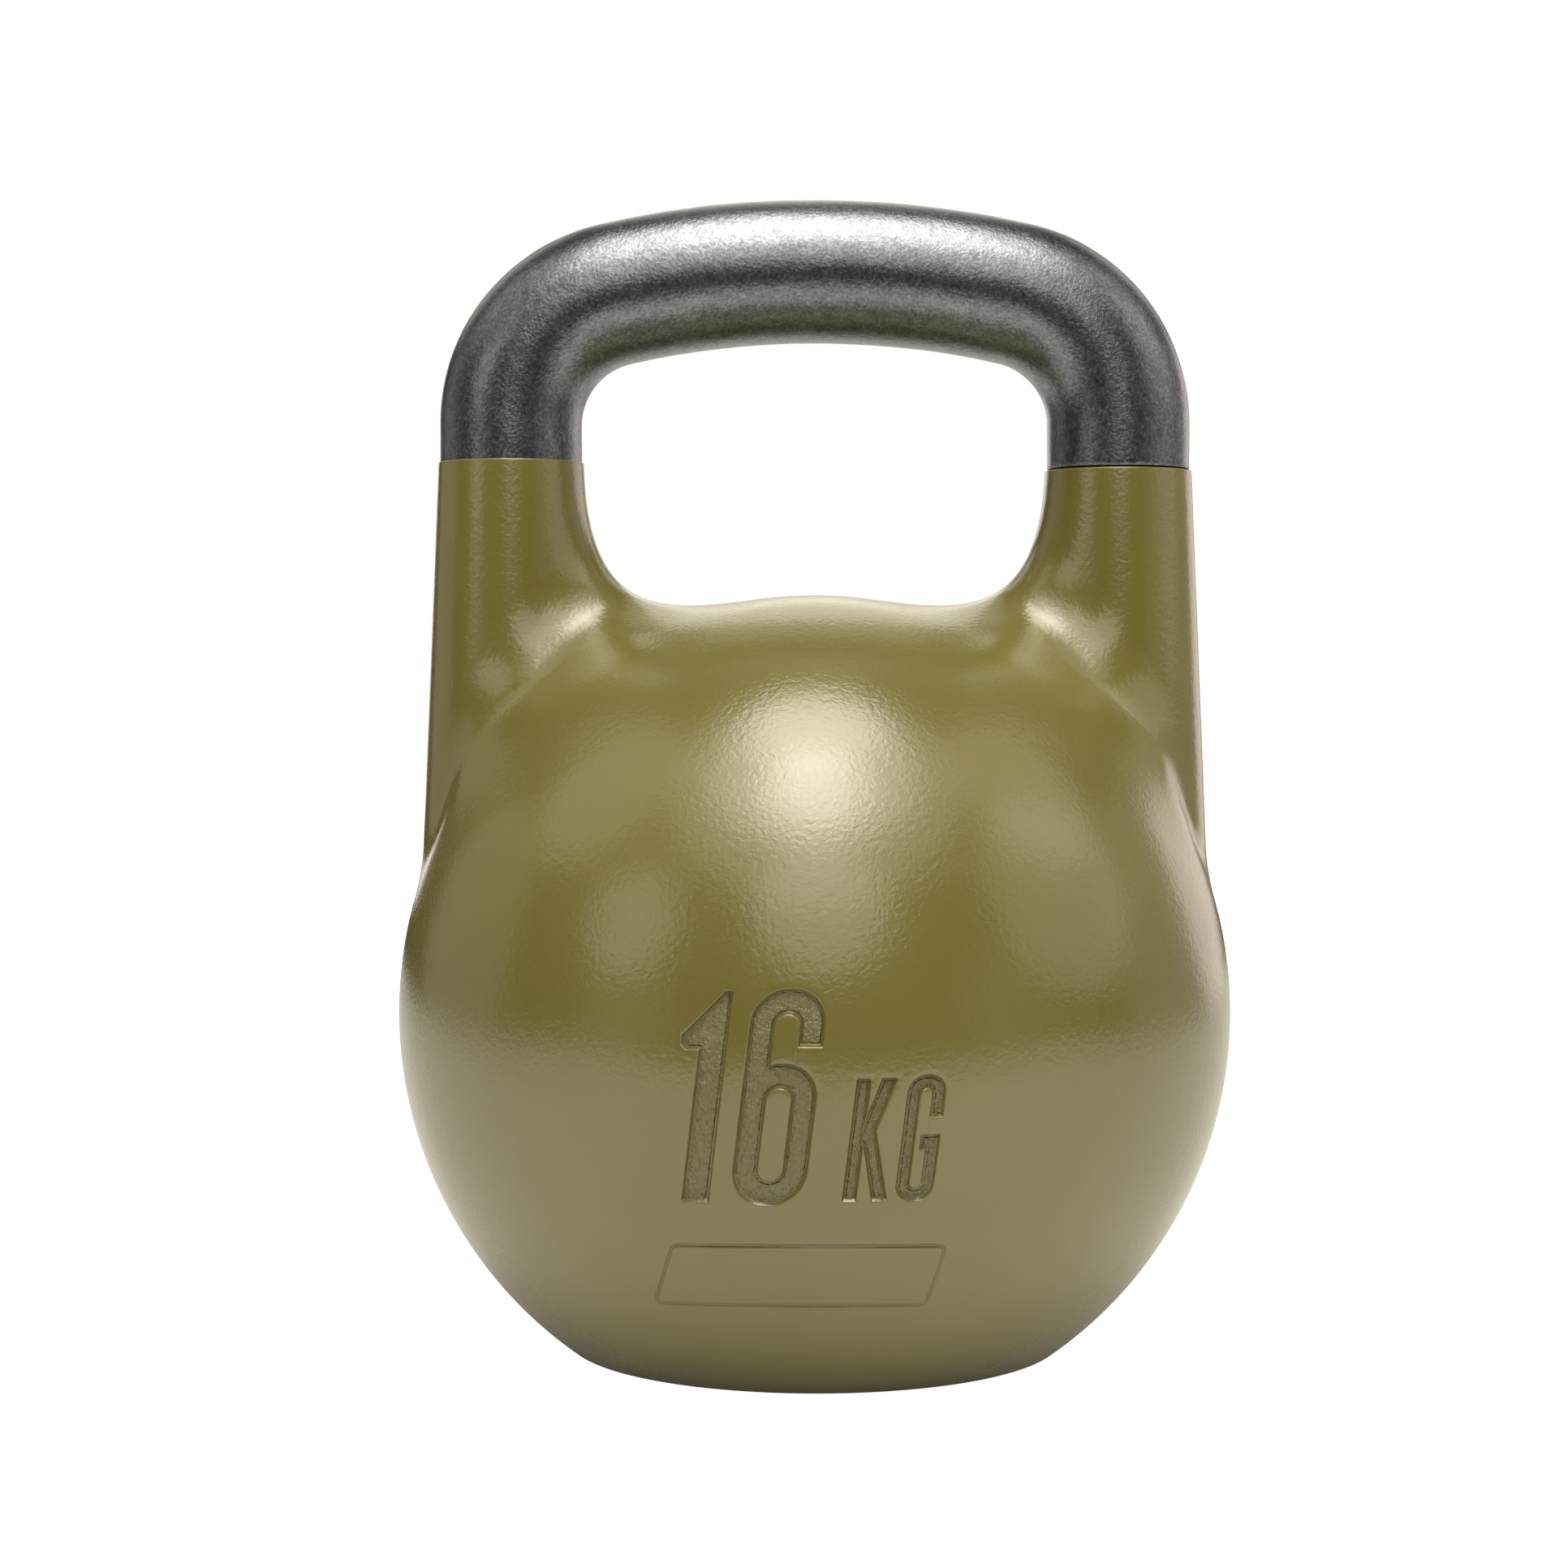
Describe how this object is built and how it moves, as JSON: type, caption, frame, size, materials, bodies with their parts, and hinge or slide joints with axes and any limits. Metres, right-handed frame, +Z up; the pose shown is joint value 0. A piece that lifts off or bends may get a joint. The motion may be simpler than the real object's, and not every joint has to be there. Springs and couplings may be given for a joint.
{
  "type": "competition kettlebell",
  "caption": "Ball-shaped weight with a flat base, two horns and a bent steel bar handle, hollow and weighted inside, closed by a plug underneath.",
  "frame": {"origin": "centre of the flat base, in the plane it stands on", "axes": "+Z up through the ball's centre towards the handle, +X along the handle to the right seen from the front, -Y towards the front face with the weight mark"},
  "size_m": [0.21, 0.21, 0.2896],
  "materials": {
    "bell_paint": "olive powder coat, satin to gloss, with a fine wrinkle",
    "bar_steel": "bare steel, blasted to a fine even grain",
    "weld_metal": "dressed weld",
    "shot": "steel shot set in resin",
    "packing": "light packing, rough",
    "plug_steel": "turned steel",
    "seal_rubber": "matt black rubber"
  },
  "bodies": {
    "root": {"bell_shell": "bell_paint", "grip_handle": "bar_steel", "left_weld_ring": "weld_metal", "right_weld_ring": "weld_metal", "shot_ballast": "shot", "filler_packing": "packing", "core_plug": "plug_steel", "plug_seal": "seal_rubber"}
  },
  "joints": []
}
